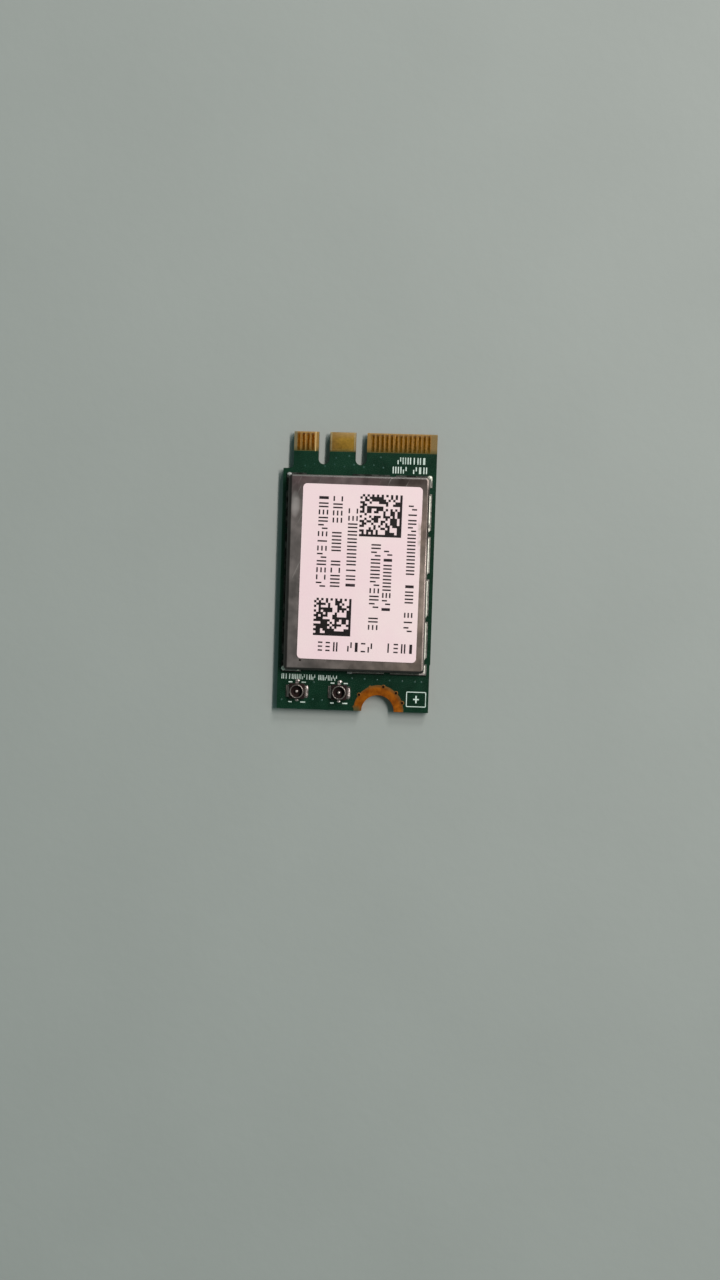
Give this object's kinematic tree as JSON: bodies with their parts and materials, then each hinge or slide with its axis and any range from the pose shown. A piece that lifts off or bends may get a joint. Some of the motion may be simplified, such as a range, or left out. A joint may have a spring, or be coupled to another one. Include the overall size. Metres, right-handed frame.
{
  "type": "laptop wireless network card",
  "caption": "Small keyed edge-contact circuit card with a shield can over its radio, antenna jacks and a plated half hole for its screw.",
  "frame": {"origin": "middle of the card's length and width, on the board's underside", "axes": "+Z out of the shielded upper side, +Y along the card towards the edge contacts, +X across the card towards the side with more contacts"},
  "size_m": [0.0164, 0.03, 0.0021],
  "materials": {
    "solder_mask": "satin green lacquer over the board",
    "contact_gold": "thin gold plating, dulled",
    "ground_copper": "tarnished copper",
    "tinned_steel": "satin",
    "label_paper": "matt printed label",
    "dark_moulding": "matt",
    "jack_metal": "satin",
    "chip_moulding": "matt",
    "chip_ceramic": "matt",
    "solder": "bright solder",
    "white_ink": "printed legend",
    "dark_ink": "printed ink",
    "bare_laminate": "bare glass laminate"
  },
  "bodies": {
    "root": {"circuit_board": "solder_mask", "contact_01": "contact_gold", "contact_03": "contact_gold", "contact_05": "contact_gold", "contact_07": "contact_gold", "wide_ground_contact": "contact_gold", "contact_33": "contact_gold", "contact_35": "contact_gold", "contact_37": "contact_gold", "contact_39": "contact_gold", "contact_41": "contact_gold", "contact_43": "contact_gold", "contact_45": "contact_gold", "contact_47": "contact_gold", "contact_49": "contact_gold", "contact_51": "contact_gold", "contact_53": "contact_gold", "contact_55": "contact_gold", "contact_57": "contact_gold", "screw_ground_ring": "ground_copper", "shield_frame": "tinned_steel", "shield_lid": "tinned_steel", "product_label": "label_paper", "jack_housing_1": "dark_moulding", "jack_housing_2": "dark_moulding", "jack_ring_1": "jack_metal", "jack_ring_2": "jack_metal", "jack_pin_1": "jack_metal", "jack_pin_2": "jack_metal", "radio_chip": "chip_moulding", "memory_chip": "chip_moulding", "front_end_1": "chip_moulding", "front_end_2": "chip_moulding", "reference_crystal": "tinned_steel", "band_filter_1": "tinned_steel", "band_filter_2": "tinned_steel", "diplexer_1": "chip_ceramic", "diplexer_2": "chip_ceramic", "power_inductor_1": "chip_moulding", "power_inductor_2": "chip_moulding", "capacitor_1": "chip_ceramic", "capacitor_2": "chip_ceramic", "capacitor_3": "chip_ceramic", "capacitor_4": "chip_ceramic", "capacitor_5": "chip_ceramic", "capacitor_6": "chip_ceramic", "capacitor_7": "chip_ceramic", "capacitor_8": "chip_ceramic", "capacitor_9": "chip_ceramic", "capacitor_10": "chip_ceramic", "resistor_1": "chip_moulding", "resistor_2": "chip_moulding", "resistor_3": "chip_moulding", "resistor_4": "chip_moulding", "resistor_5": "chip_moulding"}
  },
  "joints": []
}
